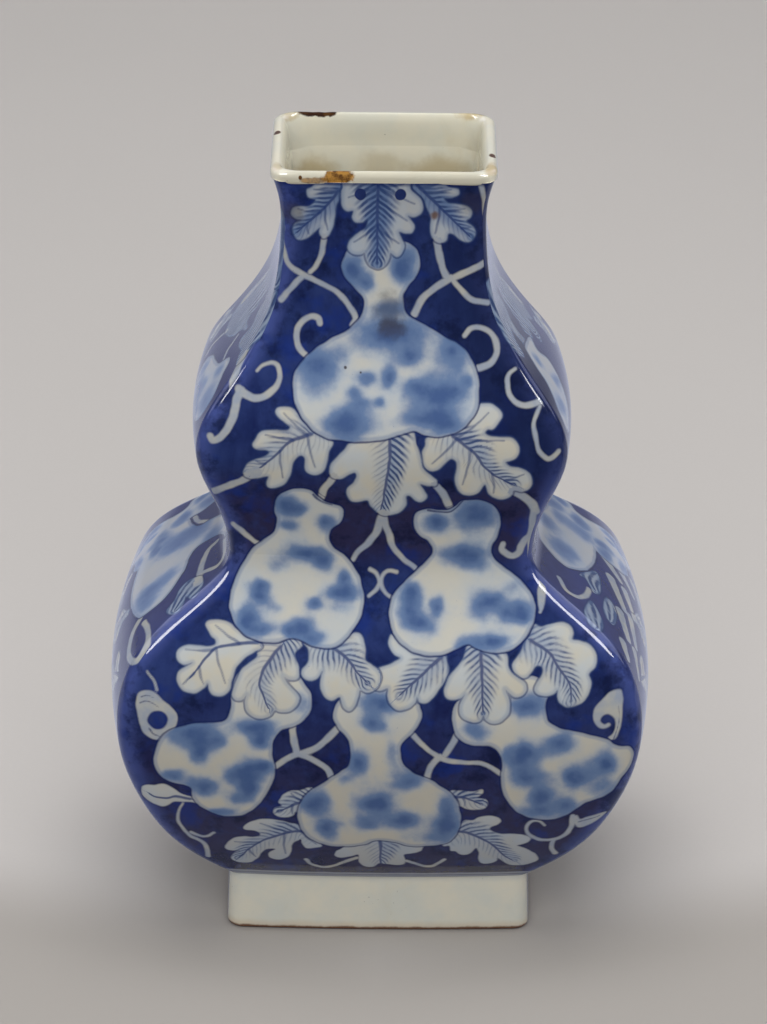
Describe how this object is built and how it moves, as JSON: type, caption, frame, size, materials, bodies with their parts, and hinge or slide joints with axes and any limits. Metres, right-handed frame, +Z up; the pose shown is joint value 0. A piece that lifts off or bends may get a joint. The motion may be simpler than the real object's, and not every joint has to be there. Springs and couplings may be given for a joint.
{
  "type": "double gourd vase",
  "caption": "Hollow porcelain vase of rectangular section in double gourd form: a wide lower bulb, a smaller upper bulb and a neck with a flat lip, on a plain rectangular foot.",
  "frame": {"origin": "middle of the plane that the foot rests on", "axes": "+Z up through the mouth, -Y towards the front of the picture, +X to the right in the picture"},
  "size_m": [0.1394, 0.1048, 0.205],
  "materials": {
    "painted_porcelain": "clear gloss glaze over underglaze blue painting, white inside",
    "foot_porcelain": "clear gloss glaze, bare paste on the resting edge",
    "lip_porcelain": "clear gloss glaze, stained and chipped in places",
    "plain_porcelain": "clear glaze over white paste"
  },
  "bodies": {
    "root": {"lower_front_wall": "painted_porcelain", "lower_back_wall": "painted_porcelain", "lower_left_wall": "painted_porcelain", "lower_right_wall": "painted_porcelain", "upper_front_wall": "painted_porcelain", "upper_back_wall": "painted_porcelain", "upper_left_wall": "painted_porcelain", "upper_right_wall": "painted_porcelain", "foot_front_strip": "foot_porcelain", "foot_back_strip": "foot_porcelain", "foot_left_strip": "foot_porcelain", "foot_right_strip": "foot_porcelain", "mouth_lip": "lip_porcelain", "floor_slab": "plain_porcelain", "waist_band": "plain_porcelain", "floor_coil": "plain_porcelain", "lower_front_right_coil": "plain_porcelain", "lower_front_left_coil": "plain_porcelain", "lower_back_right_coil": "plain_porcelain", "lower_back_left_coil": "plain_porcelain", "upper_front_right_coil": "plain_porcelain", "upper_front_left_coil": "plain_porcelain", "upper_back_right_coil": "plain_porcelain", "upper_back_left_coil": "plain_porcelain"}
  },
  "joints": []
}
